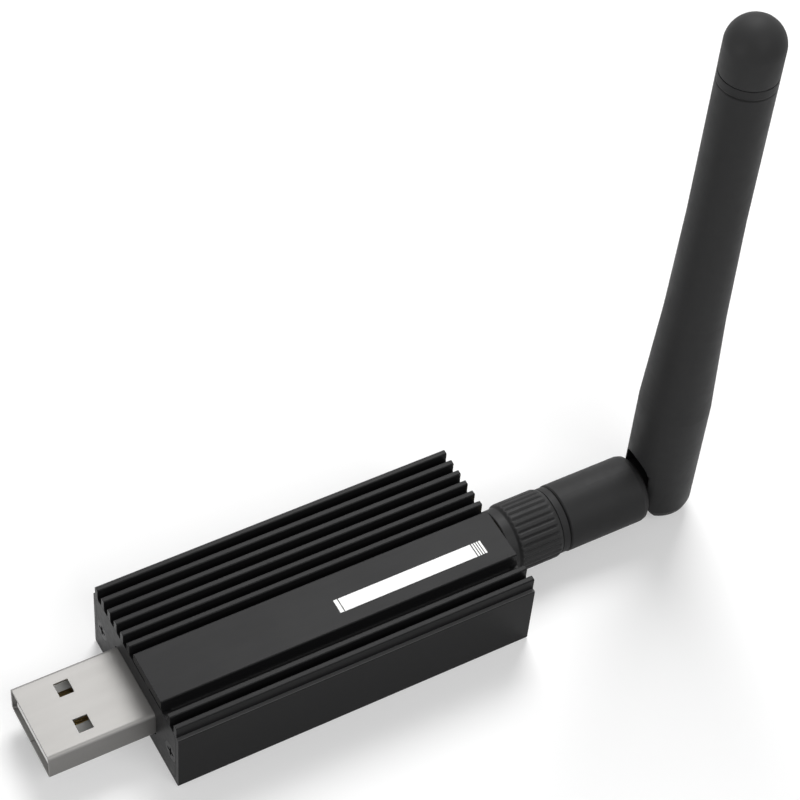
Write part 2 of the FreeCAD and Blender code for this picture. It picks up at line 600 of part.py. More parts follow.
def build_end_plate(label, sign, cut_opening):
    outer_face = f"{sign}HousingLength / 2"
    inward = "+" if sign == "-" else "-"
    middle = f"{outer_face} {inward} PlateThickness / 2"
    body = new_body(label)
    outline = new_sketch(body, "Outline", "YZ_Plane", ("0", "PlateCentreHeight", middle))
    rounded_rectangle(outline, PLATE_WIDTH, "PlateHeight", "PlateRounding")
    extrude(body, "Pad", "Plate", outline, "PlateThickness", both=True)
    cut_opening(body)
    holes = new_sketch(body, "ScrewHoles", "YZ_Plane", ("0", "PlugHeight", "0"))
    circle_pair(holes, "ScrewHoleRadius", SCREW_SPACING)
    extrude(body, "Pocket", "ScrewHoleCut", holes)

    def outer_rim(edge):
        return (isinstance(edge.Curve, Part.Circle) and near(edge.Curve.Radius, size("ScrewHoleRadius"))
                and near(edge.Curve.Center.x, size(outer_face)))

    dress(body, "Chamfer", "Countersinks", "ScrewHeadRadius + ScrewHeadClearance - ScrewHoleRadius",
          outer_rim)
    return body


def plug_opening(body):
    sketch = new_sketch(body, "PlugOpening", "YZ_Plane", ("0", "PlugHeight", "0"))
    rectangle(sketch, "PlugWidth + 2 * PlugCutClearance", "PlugThickness + 2 * PlugCutClearance")
    extrude(body, "Pocket", "PlugOpeningCut", sketch)

    def opening_corner(edge):
        middle = edge.CenterOfMass
        return (straight_along(edge, ALONG_X)
                and near(abs(middle.y), size("PlugWidth / 2 + PlugCutClearance")))

    dress(body, "Fillet", "PlugOpeningCorners", "PlugRounding + PlugCutClearance", opening_corner)


def jack_opening(body):
    sketch = new_sketch(body, "JackOpening", "YZ_Plane", ("0", "AxisHeight", "0"))
    circle(sketch, "JackRadius + JackBoreClearance")
    extrude(body, "Pocket", "JackOpeningCut", sketch)


def build_screws():
    """Four equal countersunk screws, two in each end plate."""
    screw = new_body("EndScrew", (FRONT_X, f"{SCREW_SPACING} / 2", "PlugHeight"))
    profile = new_sketch(screw, "Profile", "XZ_Plane")
    turned_profile(profile, [
        ("0", "0"), ("0", "ScrewHeadRadius"), ("ScrewHeadDepth", "ScrewShankRadius"),
        ("ScrewLength", "ScrewShankRadius"), ("ScrewLength", "0")])
    turn(screw, "Revolution", "Turned", profile)
    for name, width, height in (("Level", "DriveWidth", "DriveBar"), ("Upright", "DriveBar", "DriveWidth")):
        bar = new_sketch(screw, f"{name}Bar", "YZ_Plane")
        rectangle(bar, width, height)
        extrude(screw, "Pocket", f"{name}BarCut", bar, "DriveDepth", backwards=True)
    pair = doc.addObject("Part::Compound", "FrontScrews")
    pair.Links = [screw, mirrored("FrontScrewNear", screw, FreeCAD.Vector(0, 1, 0))]
    node = doc.addObject("Part::Compound", "end_plate_screws")
    node.Links = [pair, mirrored("RearScrews", pair, FreeCAD.Vector(1, 0, 0))]
    return node


def mirrored(name, source, normal):
    """The source mirrored through a plane at the origin."""
    copy = doc.addObject("Part::Mirroring", name)
    copy.Source = source
    copy.Base = FreeCAD.Vector()
    copy.Normal = normal
    return copy


# USB plug: folded shell, insulator and contacts, about the plug's own centre at the front face

PLUG_PLACE = (FRONT_X, "0", "PlugHeight")


def build_plug_shell():
    body = new_body("usb_plug_shell", PLUG_PLACE)
    middle = "(PlugDepth - PlugReach) / 2"
    outer = new_sketch(body, "Outside", "YZ_Plane", ("0", "0", middle))
    rectangle(outer, "PlugWidth", "PlugThickness")
    extrude(body, "Pad", "Tube", outer, "PlugReach + PlugDepth", both=True)
    dress(body, "Fillet", "OuterBends", "PlugRounding", lambda edge: straight_along(edge, ALONG_X))

    inner = new_sketch(body, "Inside", "YZ_Plane")
    rectangle(inner, "PlugWidth - 2 * PlugSheet", "PlugThickness - 2 * PlugSheet")
    extrude(body, "Pocket", "Bore", inner)

    def inner_bend(edge):
        middle_point = edge.CenterOfMass
        return (straight_along(edge, ALONG_X)
                and near(abs(middle_point.y), size("PlugWidth / 2 - PlugSheet"))
                and near(abs(middle_point.z), size("PlugThickness / 2 - PlugSheet")))

    dress(body, "Fillet", "InnerBends", "PlugRounding - PlugSheet", inner_bend)

    for side, sign in (("Far", ""), ("Near", "-")):
        window = new_sketch(body, f"{side}Window", "XY_Plane",
                            ("WindowSetback - PlugReach", f"{sign}WindowSpacing / 2", "0"))
        rectangle(window, "WindowLength", "WindowWidth")
        extrude(body, "Pocket", f"{side}Windows", window)

    seam = new_sketch(body, "Seam", "YZ_Plane", ("0", "-PlugThickness / 2", "0"))
    rectangle(seam, "PlugSeam", "3 * PlugSheet")
    extrude(body, "Pocket", "SeamCut", seam)

    for side, sign in (("Far", ""), ("Near", "-")):
        ear = new_sketch(body, f"{side}Ear", "XY_Plane",
                         (f"{BOARD_FRONT} + EarLength / 2",
                          f"{sign}(PlugWidth / 2 + EarReach / 2 - PlugSheet / 2)",
                          f"{BOARD_TOP} - PlugHeight"))
        rectangle(ear, "EarLength", "EarReach + PlugSheet")
        extrude(body, "Pad", f"{side}EarPad", ear, "PlugSheet")
    return body


def plain_box(name, lengths, place):
    box = doc.addObject("Part::Box", name)
    for prop, rule in zip(("Length", "Width", "Height"), lengths):
        bind(box, prop, rule)
    for letter, rule in zip("xyz", place):
        bind(box, f"Placement.Base.{letter}", rule)
    return box


def cylinder_along_x(name, radius, start, length, place):
    rod = doc.addObject("Part::Cylinder", name)
    bind(rod, "Radius", radius)
    bind(rod, "Height", length)
    rod.Placement.Rotation = FreeCAD.Rotation(FreeCAD.Vector(0, 1, 0), 90)
    bind(rod, "Placement.Base.x", f"{place[0]} + ({start})")
    bind(rod, "Placement.Base.y", place[1])
    bind(rod, "Placement.Base.z", place[2])
    return rod


def fused(label, pieces):
    node = doc.addObject("Part::MultiFuse", label)
    node.Shapes = pieces
    node.Refine = True
    return node


def cut(label, base, tool):
    node = doc.addObject("Part::Cut", label)
    node.Base = base
    node.Tool = tool
    return node


CONTACTS = [("OuterFar", "ContactPitchOuter / 2", "ContactSetbackOuter"),
            ("InnerFar", "ContactPitchInner / 2", "ContactSetbackInner"),
            ("InnerNear", "-ContactPitchInner / 2", "ContactSetbackInner"),
            ("OuterNear", "-ContactPitchOuter / 2", "ContactSetbackOuter")]
TONGUE_TOP = "(PlugHeight - PlugThickness / 2 + PlugSheet + InsulatorClearance + TongueHeight)"
CONTACT_BEND = f"({FRONT_X} + PlugDepth + ContactSheet)"


def build_plug_insulator():
    inside_width = "(PlugWidth - 2 * PlugSheet - 2 * InsulatorClearance)"
    inside_height = "(PlugThickness - 2 * PlugSheet - 2 * InsulatorClearance)"
    low = "PlugHeight - PlugThickness / 2 + PlugSheet + InsulatorClearance"
    tongue = plain_box("TongueBlank",
                       ("PlugReach - InsulatorSetback + PlugDepth", inside_width, "TongueHeight"),
                       (f"{FRONT_X} - PlugReach + InsulatorSetback", f"-{inside_width} / 2", low))
    block = plain_box("RearBlock", ("InsulatorBlock", inside_width, inside_height),
                      (f"{FRONT_X} + PlugDepth - InsulatorBlock", f"-{inside_width} / 2", low))
    blank = fused("InsulatorBlank", [tongue, block])
    slots = []
    for name, across, setback in CONTACTS:
        slots.append(plain_box(
            f"{name}Slot",
            (f"PlugReach - {setback} + PlugDepth + ContactClearance + ContactSheet",
             "ContactWidth + 2 * ContactClearance", "ContactSheet + 2 * ContactClearance"),
            (f"{FRONT_X} - PlugReach + {setback} - ContactClearance",
             f"{across} - ContactWidth / 2 - ContactClearance",
             f"{TONGUE_TOP} - ContactSheet - ContactClearance")))
    return cut("usb_plug_insulator", blank, fused("ContactSlots", slots))


def build_plug_contacts():
    """Four strips: a blade on the tongue, a drop behind the block and a soldered tail."""
    strips = []
    for name, across, setback in CONTACTS:
        left = f"{across} - ContactWidth / 2"
        blade = plain_box(f"{name}Blade",
                          (f"PlugReach - {setback} + PlugDepth + ContactSheet", "ContactWidth",
                           "ContactSheet"),
                          (f"{FRONT_X} - PlugReach + {setback}", left, f"{TONGUE_TOP} - ContactSheet"))
        drop = plain_box(f"{name}Drop", ("ContactSheet", "ContactWidth", f"{TONGUE_TOP} - {BOARD_TOP}"),
                         (CONTACT_BEND, left, BOARD_TOP))
        tail = plain_box(f"{name}Tail", ("ContactTail", "ContactWidth", "ContactSheet"),
                         (CONTACT_BEND, left, BOARD_TOP))
        strips.append(fused(f"{name}Contact", [blade, drop, tail]))
    node = doc.addObject("Part::Compound", "usb_plug_contacts")
    node.Links = strips
    return node


# Circuit board and what is soldered on it

def build_board():
    body = new_body("circuit_board")
    bottom = f"{BOARD_TOP} - BoardThickness"
    middle = f"{FRONT_X} + {BOARD_FRONT} + {BOARD_LENGTH} / 2"
    outline = new_sketch(body, "Outline", "XY_Plane", (middle, "0", bottom))
    rectangle(outline, BOARD_LENGTH, BOARD_WIDTH)
    extrude(body, "Pad", "Board", outline, "BoardThickness")
    notch_depth = "(PlugDepth + BoardNotchClearance)"
    notch = new_sketch(body, "PlugNotch", "XY_Plane", (f"{FRONT_X} + {notch_depth} / 2", "0", "0"))
    rectangle(notch, notch_depth, "PlugWidth + 2 * BoardNotchClearance")
    extrude(body, "Pocket", "PlugNotchCut", notch)
    return body


# Chips as (label, along from the front face, across, length, width, height)
CHIPS = [
    ("serial_bridge_chip", "BridgeAlong", "-ChipOffset", "BridgeSide", "BridgeSide", "BridgeHeight"),
    ("voltage_regulator", "RegulatorAlong", "RegulatorOffset",
     "RegulatorLength", "RegulatorWidth", "RegulatorHeight"),
    ("radio_chip", "RadioAlong", "-ChipOffset", "RadioSide", "RadioSide", "RadioHeight"),
    ("main_crystal", "CrystalAlong", "-MainCrystalOffset",
     "CrystalLength", "MainCrystalWidth", "CrystalHeight"),
    ("clock_crystal", "CrystalAlong", "ClockCrystalOffset",
     "CrystalLength", "ClockCrystalWidth", "CrystalHeight"),
]
# Capacitors as (name, along in pitches from the first, across in half spacings)
CAPACITORS = [("FrontFar", 0, 1), ("FrontNear", 0, -1), ("MiddleFar", 0.5, 1),
              ("MiddleNear", 0.5, -1), ("RearFar", 1, 1), ("RearNear", 1, -1)]


def chip_box(name, along, across, length, width, height):
    return plain_box(name, (length, width, height),
                     (f"{FRONT_X} + {along} - {length} / 2", f"{across} - {width} / 2", BOARD_TOP))


def build_chips():
    chips = [chip_box(*chip) for chip in CHIPS]
    pieces = [chip_box(f"{name}Capacitor", f"(CapacitorRowFront + {pitches} * CapacitorRowPitch)",
                       f"{halves} * CapacitorPairSpacing / 2",
                       "CapacitorLength", "CapacitorSide", "CapacitorSide")
              for name, pitches, halves in CAPACITORS]
    group = doc.addObject("Part::Compound", "board_capacitors")
    group.Links = pieces
    return chips + [group]


# Antenna jack, about the connector's axis at the housing's rear face

AXIS_PLACE = (REAR_X, "0", "AxisHeight")


def turned_body(label, corners, place=AXIS_PLACE, role="XZ_Plane", axis="H_Axis"):
    body = new_body(label, place)
    sketch = new_sketch(body, "Profile", role)
    turned_profile(sketch, corners)
    turn(body, "Revolution", "Turned", sketch, axis)
    return body


def build_jack_body():
    mouth_floor = "JackReach - JackMouthDepth"
    bore = "(JackInsulatorRadius + SeatClearance)"
    body = turned_body("jack_body", [
        (f"-{JACK_BACK}", bore),
        (f"-{JACK_BACK}", "JackRadius - 0.3"),
        ("-PlateThickness - JackFlangeGap", "JackRadius - 0.3"),
        ("-PlateThickness - JackFlangeGap", "JackRadius"),
        ("JackReach - 0.3", "JackRadius"),
        ("JackReach", "JackRadius - 0.3"),
        ("JackReach", "JackMouthRadius"),
        (mouth_floor, "JackMouthRadius"),
        (mouth_floor, bore),
    ])
    middle = f"{JACK_BACK} - JackFlangeThickness / 2"
    flange = new_sketch(body, "Flange", "YZ_Plane", ("0", "0", f"-({middle})"))
    rectangle(flange, "JackFlange", "JackFlange")
    extrude(body, "Pad", "FlangePad", flange, "JackFlangeThickness", both=True)
    bore_sketch = new_sketch(body, "FlangeBore", "YZ_Plane", ("0", "0", f"-({middle})"))
    circle(bore_sketch, bore)
    extrude(body, "Pocket", "FlangeBoreCut", bore_sketch, "JackFlangeThickness", both=True)
    above = "-JackTailRadius + BoardSlotClearance / 2 + JackProngWidth / 2"
    below = "-JackTailRadius - BoardThickness - BoardSlotClearance / 2 - JackProngWidth / 2"
    for row, height in (("Upper", above), ("Lower", below)):
        for side, sign in (("Far", ""), ("Near", "-")):
            prong = new_sketch(body, f"{row}{side}Prong", "YZ_Plane",
                               (f"{sign}JackProngSpacing / 2", height, f"-{JACK_BACK}"))
            rectangle(prong, "JackProngWidth", "JackProngWidth")
            extrude(body, "Pad", f"{row}{side}ProngPad", prong, "JackProngLength", backwards=True)
    return body


def build_jack_insulator():
    rear = f"-{JACK_BACK}"
    front = "JackReach - JackMouthDepth"
    hole = "(JackContactRadius + SeatClearance)"
    return turned_body("jack_insulator", [(rear, hole), (rear, "JackInsulatorRadius"),
                                          (front, "JackInsulatorRadius"), (front, hole)])


def build_jack_contact():
    tail = f"-{JACK_BACK} - JackTailLength"
    front = "JackReach - JackMouthDepth - 0.1"
    return turned_body("jack_contact", [
        (tail, "0"), (tail, "JackTailRadius"), (f"-{JACK_BACK}", "JackTailRadius"),
        (f"-{JACK_BACK}", "JackContactRadius"), (front, "JackContactRadius"),
        (front, "JackContactBore"), (f"{front} - JackContactBoreDepth", "JackContactBore"),
        (f"{front} - JackContactBoreDepth", "0")])


# Antenna connector: ferrule, its insulator and pin, the collar, the clip and the cable

def build_ferrule():
    bore = "(FerruleInsulatorRadius + SeatClearance)"
    clip_rear = "(ClipGrooveFront + ClipThickness + 2 * ClipClearance)"
    return turned_body("ferrule", [
        (NOSE_FRONT, bore), (NOSE_FRONT, "FerruleNoseRadius"), (FLANGE_FRONT, "FerruleNoseRadius"),
        (FLANGE_FRONT, "FerruleFlangeRadius"), (FLANGE_REAR, "FerruleFlangeRadius"),
        (FLANGE_REAR, "FerruleRadius"), ("ClipGrooveFront", "FerruleRadius"),
        ("ClipGrooveFront", "FerruleRadius - ClipGrooveDepth"),
        (clip_rear, "FerruleRadius - ClipGrooveDepth"), (clip_rear, "FerruleRadius"),
        ("FerruleRear", "FerruleRadius"), ("FerruleRear", CHANNEL_RADIUS),
        ("FerruleInsulatorRear", CHANNEL_RADIUS), ("FerruleInsulatorRear", bore)])


def build_ferrule_insulator():
    hole = "(FerrulePinRadius + SeatClearance)"
    front = f"{NOSE_FRONT} + 0.05"
    return turned_body("ferrule_insulator", [
        (front, hole), (front, "FerruleInsulatorRadius"),
        ("FerruleInsulatorRear", "FerruleInsulatorRadius"), ("FerruleInsulatorRear", hole)])


def build_ferrule_pin():
    tip = f"{NOSE_FRONT} - FerrulePinReach"
    return turned_body("ferrule_pin", [
        (tip, "0"), (f"{tip} + 0.25", "FerrulePinRadius"), ("FerrulePinRear", "FerrulePinRadius"),
        ("FerrulePinRear", "0")])


def build_collar():
    return turned_body("swivel_collar", [
        ("CollarFront", "FerruleRadius + SeatClearance"), ("CollarFront", "CollarRadius"),
        ("CollarRear", "CollarRadius"), ("CollarRear", "FerruleRadius + SeatClearance")])


def build_clip():
    front = "ClipGrooveFront + ClipClearance"
    rear = f"{front} + ClipThickness"
    inside = "FerruleRadius - ClipGrooveDepth + ClipClearance"
    body = turned_body("retaining_clip",
                       [(front, inside), (front, "ClipRadius"), (rear, "ClipRadius"), (rear, inside)])
    gap = new_sketch(body, "Gap", "XZ_Plane", (front, "-ClipRadius", "0"))
    rectangle(gap, "4 * ClipThickness", "1.6 * ClipRadius")
    extrude(body, "Pocket", "GapCut", gap, "ClipOpening", both=True)
    return body


def build_feed_cable():
    return cylinder_along_x("feed_cable", "CableRadius", "FerrulePinRear",
                            "HingeReach - CableBendGap - FerrulePinRear", AXIS_PLACE)


# Coupling nut: metal nut in a ribbed plastic grip

def build_coupling_nut():
    bore = "(JackRadius + NutThreadClearance)"
    shoulder = f"{FLANGE_REAR} + NutShoulderGap"
    rear = "NutRear - GripLip - SeatClearance"
    rear_bore = "(FerruleRadius + BaseBoreClearance)"
    body = turned_body("coupling_nut", [
        ("NutFront", bore), ("NutFront", "NutMetalRadius"), (rear, "NutMetalRadius"),
        (rear, rear_bore), (shoulder, rear_bore), (shoulder, bore)])
    dress(body, "Chamfer", "ThreadMouth", "NutThreadClearance * 4",
          lambda edge: ring_at(edge, ALONG_X, size("NutFront"), size(bore)))
    return body


def build_nut_grip():
    bore = "(NutMetalRadius + SeatClearance)"
    lip = "NutRear - GripLip"
    lip_bore = "(FerruleRadius + 2 * BaseBoreClearance)"
    body = turned_body("nut_grip", [
        ("NutFront", bore), ("NutFront", "GripFrontRadius"), ("GripConeFront", "GripFrontRadius"),
        ("GripConeRear", "GripRadius"), ("NutRear - GripBevel", "GripRadius"),
        ("NutRear", "GripRadius - GripBevelDrop"), ("NutRear", lip_bore),
        (lip, lip_bore), (lip, bore)])
    dress(body, "Chamfer", "FrontRim", "RimChamfer",
          lambda edge: ring_at(edge, ALONG_X, size("NutFront"), size("GripFrontRadius")))
    length = "(RibEnd - RibStart)"
    groove = new_sketch(body, "RibGroove", "XY_Plane",
                        (f"RibStart + {length} / 2", "0", "GripRadius - RibGrooveDepth"))
    rectangle(groove, length, "RibGrooveWidth")
    groove_cut = extrude(body, "Pocket", "RibGrooveCut", groove, "2 * RibGrooveDepth", backwards=True)
    doc.recompute()
    ring = body.newObject("PartDesign::PolarPattern", "RibGrooves")
    ring.Originals = [groove_cut]
    ring.Axis = (origin_part(body, "X_Axis"), [""])
    ring.Angle = 360
    bind(ring, "Occurrences", "RibCount")
    body.Tip = ring
    body.Placement.Rotation = FreeCAD.Rotation(ALONG_X, 180 / size("RibCount"))
    return body


# Swivel base with its tongue

def build_swivel_base():
    bore = "(FerruleRadius + BaseBoreClearance)"
    groove_radius = "(ClipRadius + 2 * ClipClearance)"
    groove_rear = "(ClipGrooveFront + ClipThickness + 2 * ClipClearance)"
    floor = "(FerruleRear + BaseSocketGap)"
    body = turned_body("swivel_base", [
        ("BaseFront", bore), ("BaseFront", "BaseRadius"),
        *quarter_round((BASE_REAR, "BaseRadius"), "BaseRearRounding", 3),
        (BASE_REAR, CHANNEL_RADIUS), (floor, CHANNEL_RADIUS), (floor, bore),
        (groove_rear, bore), (groove_rear, groove_radius),
        ("ClipGrooveFront", groove_radius), ("ClipGrooveFront", bore)])
    dress(body, "Chamfer", "FrontRim", "RimChamfer",
          lambda edge: ring_at(edge, ALONG_X, size("BaseFront"), size("BaseRadius")))

    root = new_sketch(body, "TongueRoot", "XZ_Plane",
                      ("HingeReach - (KnuckleGap + BaseRearRounding) / 2", "0", "0"))
    rectangle(root, "KnuckleGap + BaseRearRounding", "2 * TongueRadius")
    extrude(body, "Pad", "TongueRootPad", root, "TongueThickness", both=True)
    head = new_sketch(body, "TongueHead", "XZ_Plane", ("HingeReach", "0", "0"))
    circle(head, "TongueRadius")
    extrude(body, "Pad", "TongueHeadPad", head, "TongueThickness", both=True)

    channel = new_sketch(body, "CableChannel", "YZ_Plane", ("0", "0", floor))
    circle(channel, CHANNEL_RADIUS)
    extrude(body, "Pocket", "CableChannelCut", channel, f"HingeReach - {floor}", backwards=True)
    sweep_side = f"(TongueRadius + {CHANNEL_RADIUS} + 1)"
    sweep = new_sketch(body, "CableSweep", "XZ_Plane",
                       (f"HingeReach - {CHANNEL_RADIUS} + {sweep_side} / 2",
                        f"{sweep_side} / 2 - {CHANNEL_RADIUS}", "0"))
    rectangle(sweep, sweep_side, sweep_side)
    extrude(body, "Pocket", "CableSweepCut", sweep, f"2 * {CHANNEL_RADIUS}", both=True)

    recess = "(PivotLength + ArmSlotClearance)"
    for side, sign in (("Near", ""), ("Far", "-")):
        hole = new_sketch(body, f"{side}Pivot", "XZ_Plane", ("HingeReach", "0", f"{sign}TongueThickness / 2"))
        circle(hole, "PivotRadius + PivotClearance")
        extrude(body, "Pocket", f"{side}PivotCut", hole, f"{recess} - ArmSlotClearance + PivotClearance",
                backwards=side == "Far")
    return body


# Folding arm, about the fold's pivot, standing along +Z

PIVOT_PLACE = ("HousingLength / 2 + HingeReach", "0", "AxisHeight")


def build_arm():
    slot_width = "(TongueThickness + 2 * ArmSlotClearance)"
    body = new_body("antenna_arm", PIVOT_PLACE)
    sketch = new_sketch(body, "Profile", "XZ_Plane")
    lower = [(out, f"-{down}") for down, out in
             quarter_round(("ArmBottom", "ArmRadius"), "ArmBottomRounding", 3)]
    outline = [("0", "-ArmBottom"), *reversed(lower), ("ArmRadius", "TaperStart"),
               ("TaperWaistRadius", "TaperWaist"), ("ShaftRadius", "TaperEnd"),
               ("ShaftRadius", "CapSeam"), ("0", "CapSeam")]
    upright_profile(sketch, outline)
    turn(body, "Revolution", "Turned", sketch, "V_Axis")

    bore = new_sketch(body, "Bore", "XY_Plane", ("0", "0", "0"))
    circle(bore, "ArmBore")
    extrude(body, "Pocket", "BoreCut", bore, "CapSeam + 1", backwards=True)

    slot = new_sketch(body, "KnuckleSlot", "YZ_Plane",
                      ("0", f"ArmSlotTop - {slot_width} / 2", "ArmSlotBack"))
    arch(slot, slot_width, f"-(ArmSlotTop + ArmBottom + 1)")
    extrude(body, "Pocket", "KnuckleSlotCut", slot, "ArmSlotBack + ArmRadius + 1")

    swing = new_sketch(body, "EarSwing", "XZ_Plane")
    reach = "(ArmRadius + ArmBottom)"
    round_at, far = size("EarSwingRadius"), size(reach)
    above = size("BaseRadius + EarFlatGap")
    corner = [(0, -round_at), (0, -far), (-far, -far), (-far, above), (-round_at, above), (-round_at, 0)]
    lines = []
    for here in range(len(corner) - 1):
        lines.append(sketch_line(swing, corner[here], corner[here + 1]))
    arc_shape = Part.ArcOfCircle(Part.Circle(point(0, 0), FreeCAD.Vector(0, 0, 1), round_at),
                                 math.pi, 1.5 * math.pi)
    arc = swing.addGeometry(arc_shape, False)
    for here in range(len(lines) - 1):
        swing.addConstraint(Sketcher.Constraint("Coincident", lines[here], 2, lines[here + 1], 1))
    swing.addConstraint(Sketcher.Constraint("Coincident", lines[-1], 2, arc, 1))
    swing.addConstraint(Sketcher.Constraint("Coincident", arc, 2, lines[0], 1))
    swing.addConstraint(Sketcher.Constraint("Coincident", arc, 3, -1, 1))
    swing.addConstraint(Sketcher.Constraint("PointOnObject", lines[0], 1, -2))
    swing.addConstraint(Sketcher.Constraint("PointOnObject", lines[-1], 2, -1))
    swing.addConstraint(Sketcher.Constraint("PointOnObject", lines[0], 2, -2))
    swing.addConstraint(Sketcher.Constraint("Horizontal", lines[1]))
    swing.addConstraint(Sketcher.Constraint("Vertical", lines[2]))
    swing.addConstraint(Sketcher.Constraint("Horizontal", lines[3]))
    swing.addConstraint(Sketcher.Constraint("Vertical", lines[4]))
    constrain(swing, "Swing", "EarSwingRadius", "Radius", arc)
    constrain(swing, "Below", reach, "DistanceY", lines[0], 2, -1, 1)
    constrain(swing, "Beside", reach, "DistanceX", lines[2], 1, -1, 1)
    constrain(swing, "Above", "BaseRadius + EarFlatGap", "DistanceY", -1, 1, lines[3], 1)
    extrude(body, "Pocket", "EarSwingCut", swing)

    inner = f"{slot_width} / 2"
    for side, sign, backwards in (("Near", "", True), ("Far", "-", False)):
        boss = new_sketch(body, f"{side}Pivot", "XZ_Plane", ("0", "0", f"{sign}({inner} + ArmSlotClearance)"))
        circle(boss, "PivotRadius")
        extrude(body, "Pad", f"{side}PivotPad", boss, "PivotLength + 2 * ArmSlotClearance",
                backwards=backwards)

    return body


def build_tip_cap():
    body = new_body("tip_cap", PIVOT_PLACE)
    sketch = new_sketch(body, "Profile", "XZ_Plane")
    spigot = "(ArmBore - CapSpigotClearance)"
    dome = [(out, up) for up, out in quarter_round(("TipHeight", "ShaftRadius"), "ShaftRadius", 5)]
    upright_profile(sketch, [
        ("0", "(CapSeam - CapSpigotLength)"), (spigot, "(CapSeam - CapSpigotLength)"),
        (spigot, "CapSeam"), ("ShaftRadius - SeamDepth", "CapSeam"),
        ("ShaftRadius", "(CapSeam + SeamDepth)"), *dome[:-1], ("0", "TipHeight")])
    turn(body, "Revolution", "Turned", sketch, "V_Axis")
    return body


def rod_along_z(label, radius, low, high):
    rod = doc.addObject("Part::Cylinder", label)
    bind(rod, "Radius", radius)
    bind(rod, "Height", f"({high}) - ({low})")
    bind(rod, "Placement.Base.x", PIVOT_PLACE[0])
    bind(rod, "Placement.Base.z", f"{PIVOT_PLACE[2]} + ({low})")
    return rod


def build_sleeve():
    """A tube over the cable, open at the bottom and closed round the cable at the top."""
    hole = "(CableRadius + SeatClearance)"
    hollow = "(SleeveRadius - SleeveWall)"
    shoulder = "(SleeveEnd - SleeveShoulder)"
    body = new_body("radiator_sleeve", PIVOT_PLACE)
    sketch = new_sketch(body, "Profile", "XZ_Plane")
    upright_profile(sketch, [
        ("SleeveRadius", "SleeveStart"), ("SleeveRadius", "SleeveEnd"), (hole, "SleeveEnd"),
        (hole, shoulder), (hollow, shoulder), (hollow, "SleeveStart")])
    turn(body, "Revolution", "Turned", sketch, "V_Axis")
    return body


def build_radiator():
    return [rod_along_z("upper_cable", "CableRadius", "CableBendGap", "SleeveEnd"),
            build_sleeve(),
            rod_along_z("radiator_wire", "WireRadius", "SleeveEnd", "WireEnd")]


def build_all():
    nodes = [
        build_housing(),
        build_end_plate("front_end_plate", "-", plug_opening),
        build_end_plate("rear_end_plate", "", jack_opening),
        build_screws(),
        build_plug_shell(),
        build_plug_insulator(),
        build_plug_contacts(),
        build_board(),
    ]
    nodes += build_chips()
    nodes += [
        build_jack_body(),
        build_jack_insulator(),
        build_jack_contact(),
        build_ferrule(),
        build_ferrule_insulator(),
        build_ferrule_pin(),
        build_collar(),
        build_clip(),
        build_feed_cable(),
        build_coupling_nut(),
        build_nut_grip(),
        build_swivel_base(),
        build_arm(),
        build_tip_cap(),
    ]
    nodes += build_radiator()
    return nodes


def check(nodes):
    for thing in doc.Objects:
        bad = [state for state in thing.State if state in ("Invalid", "Error")]
        assert not bad, f"{thing.Label}: {bad}"
    for node in nodes:
        shape = node.Shape
        assert not shape.isNull(), f"{node.Label}: no shape"
        assert shape.isValid(), f"{node.Label}: not valid"
        assert shape.Solids, f"{node.Label}: no solid"
        print(f"{node.Label:20s} {len(shape.Solids)} solids {shape.Volume:10.3f} mm3")


def main():
    nodes = build_all()
    doc.removeObject(probe.Name)
    doc.recompute()
    check(nodes)
    os.makedirs(PARTS_DIR, exist_ok=True)
    for node in nodes:
        node.Shape.exportStep(os.path.join(PARTS_DIR, f"{node.Label}.step"))


main()
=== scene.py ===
"""Looks of the USB radio stick: a finned black housing with a plug and a folding antenna.

Places and sizes on the object are in millimetres. The floor, the lights and the camera are in metres.
"""
import json
import math

import bmesh
import bpy
from mathutils import Matrix, Vector

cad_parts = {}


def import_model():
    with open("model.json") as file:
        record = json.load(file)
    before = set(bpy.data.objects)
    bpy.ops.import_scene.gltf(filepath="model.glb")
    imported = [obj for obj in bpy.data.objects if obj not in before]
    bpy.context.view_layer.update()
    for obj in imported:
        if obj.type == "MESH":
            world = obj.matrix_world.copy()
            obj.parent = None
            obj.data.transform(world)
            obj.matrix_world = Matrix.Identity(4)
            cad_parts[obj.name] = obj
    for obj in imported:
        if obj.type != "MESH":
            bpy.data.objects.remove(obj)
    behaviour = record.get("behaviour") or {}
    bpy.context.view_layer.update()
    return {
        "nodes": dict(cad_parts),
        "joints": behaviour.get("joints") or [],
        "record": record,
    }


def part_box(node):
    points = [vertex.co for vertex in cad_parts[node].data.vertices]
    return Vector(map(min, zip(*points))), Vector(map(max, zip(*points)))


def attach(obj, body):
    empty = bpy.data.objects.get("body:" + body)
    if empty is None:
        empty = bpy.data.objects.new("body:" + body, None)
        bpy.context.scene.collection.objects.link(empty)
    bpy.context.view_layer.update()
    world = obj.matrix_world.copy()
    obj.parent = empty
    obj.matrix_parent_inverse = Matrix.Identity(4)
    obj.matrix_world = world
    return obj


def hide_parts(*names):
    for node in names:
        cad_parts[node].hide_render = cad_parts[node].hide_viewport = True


MM = 0.001
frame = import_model()
nodes = frame["nodes"]


# Places in millimetres, read off the frame

def limits(name):
    """A node's lowest and highest corner."""
    low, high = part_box(name)
    return low / MM, high / MM


housing_corner = limits("housing_shell")[1]
housing_end, housing_top = housing_corner.x, housing_corner.z
seam = limits("antenna_arm")[1].z
cap_low, cap_high = limits("tip_cap")
joints = {joint["name"]: joint for joint in frame["joints"]}
pivot = Vector(joints["antenna_tilt"]["pos_m"]) / MM


# Node helpers

# Where a noise texture's values mostly lie
NOISE_LOW, NOISE_HIGH = 0.3, 0.7
NOISE_ROUGHNESS = 0.55
# The places of the colours among a mix node's inputs and outputs
FIRST_COLOUR, SECOND_COLOUR, MIXED_COLOUR = 6, 7, 2


